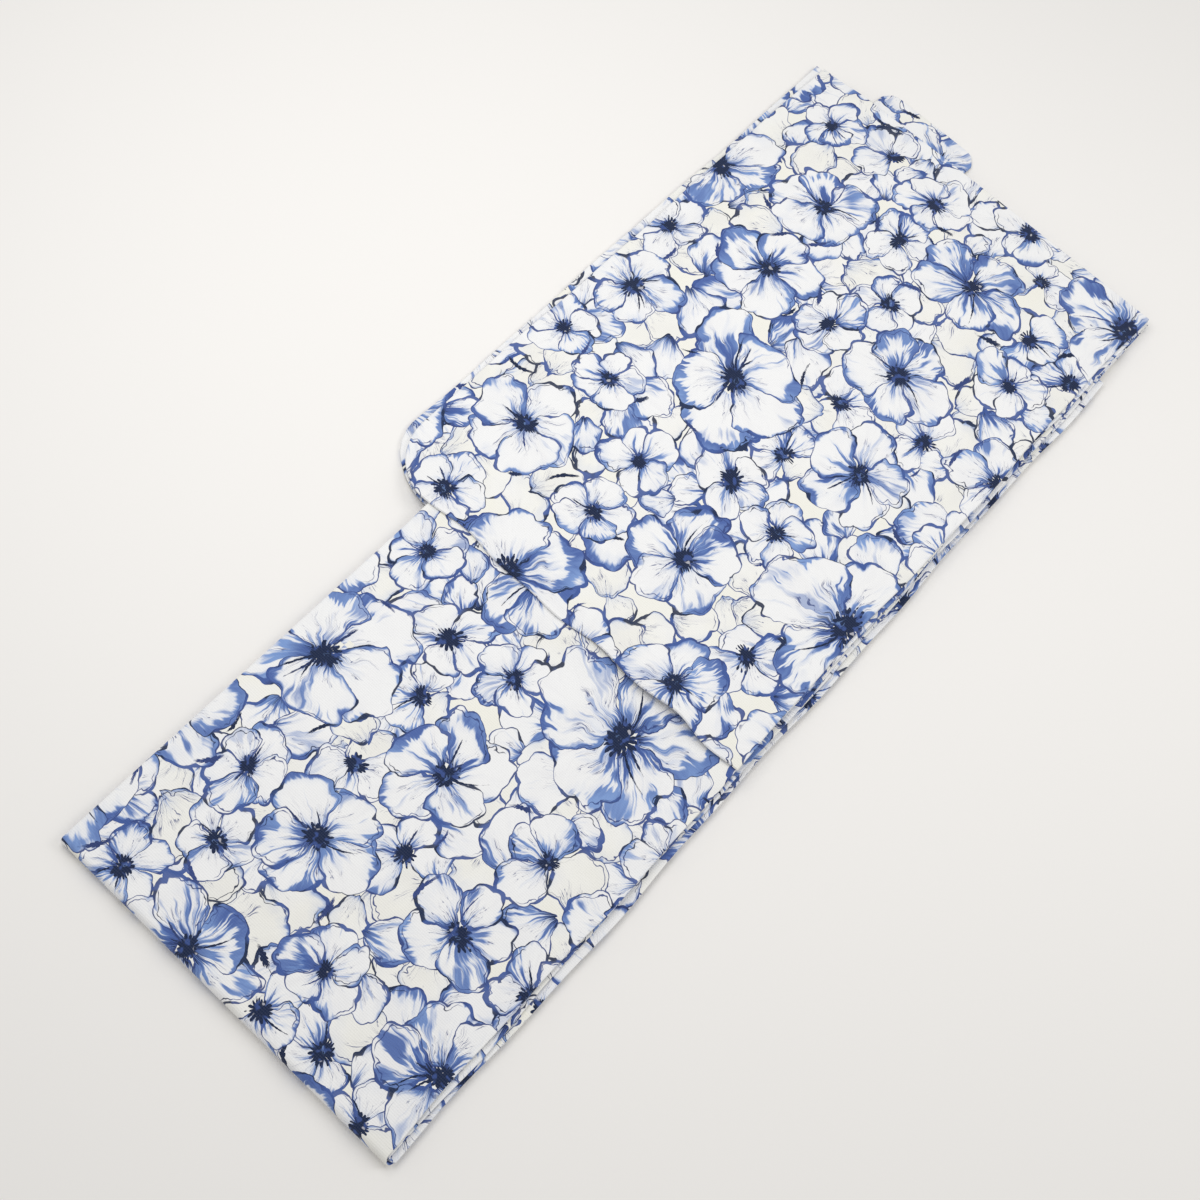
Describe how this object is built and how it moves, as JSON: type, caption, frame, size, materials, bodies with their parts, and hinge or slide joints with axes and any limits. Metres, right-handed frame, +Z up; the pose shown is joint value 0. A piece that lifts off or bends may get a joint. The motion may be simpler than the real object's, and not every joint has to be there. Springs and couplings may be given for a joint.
{
  "type": "folded cotton yukata robe",
  "caption": "Light cotton summer kimono folded flat and long, with one sleeve turned back over the top and a printed flower pattern.",
  "frame": {"origin": "middle of the underside's box, on the surface that the folded robe lies on", "axes": "+Y along the fold from the knee fold to the shoulder end, +Z up through the layers, +X to the side seam"},
  "size_m": [0.3452, 0.868, 0.0186],
  "materials": {
    "printed_cotton": "matte white cotton with a blue flower print"
  },
  "bodies": {
    "root": {"right_body": "printed_cotton", "left_body": "printed_cotton", "hidden_fronts": "printed_cotton", "right_sleeve": "printed_cotton", "left_sleeve": "printed_cotton", "collar": "printed_cotton"}
  },
  "joints": []
}
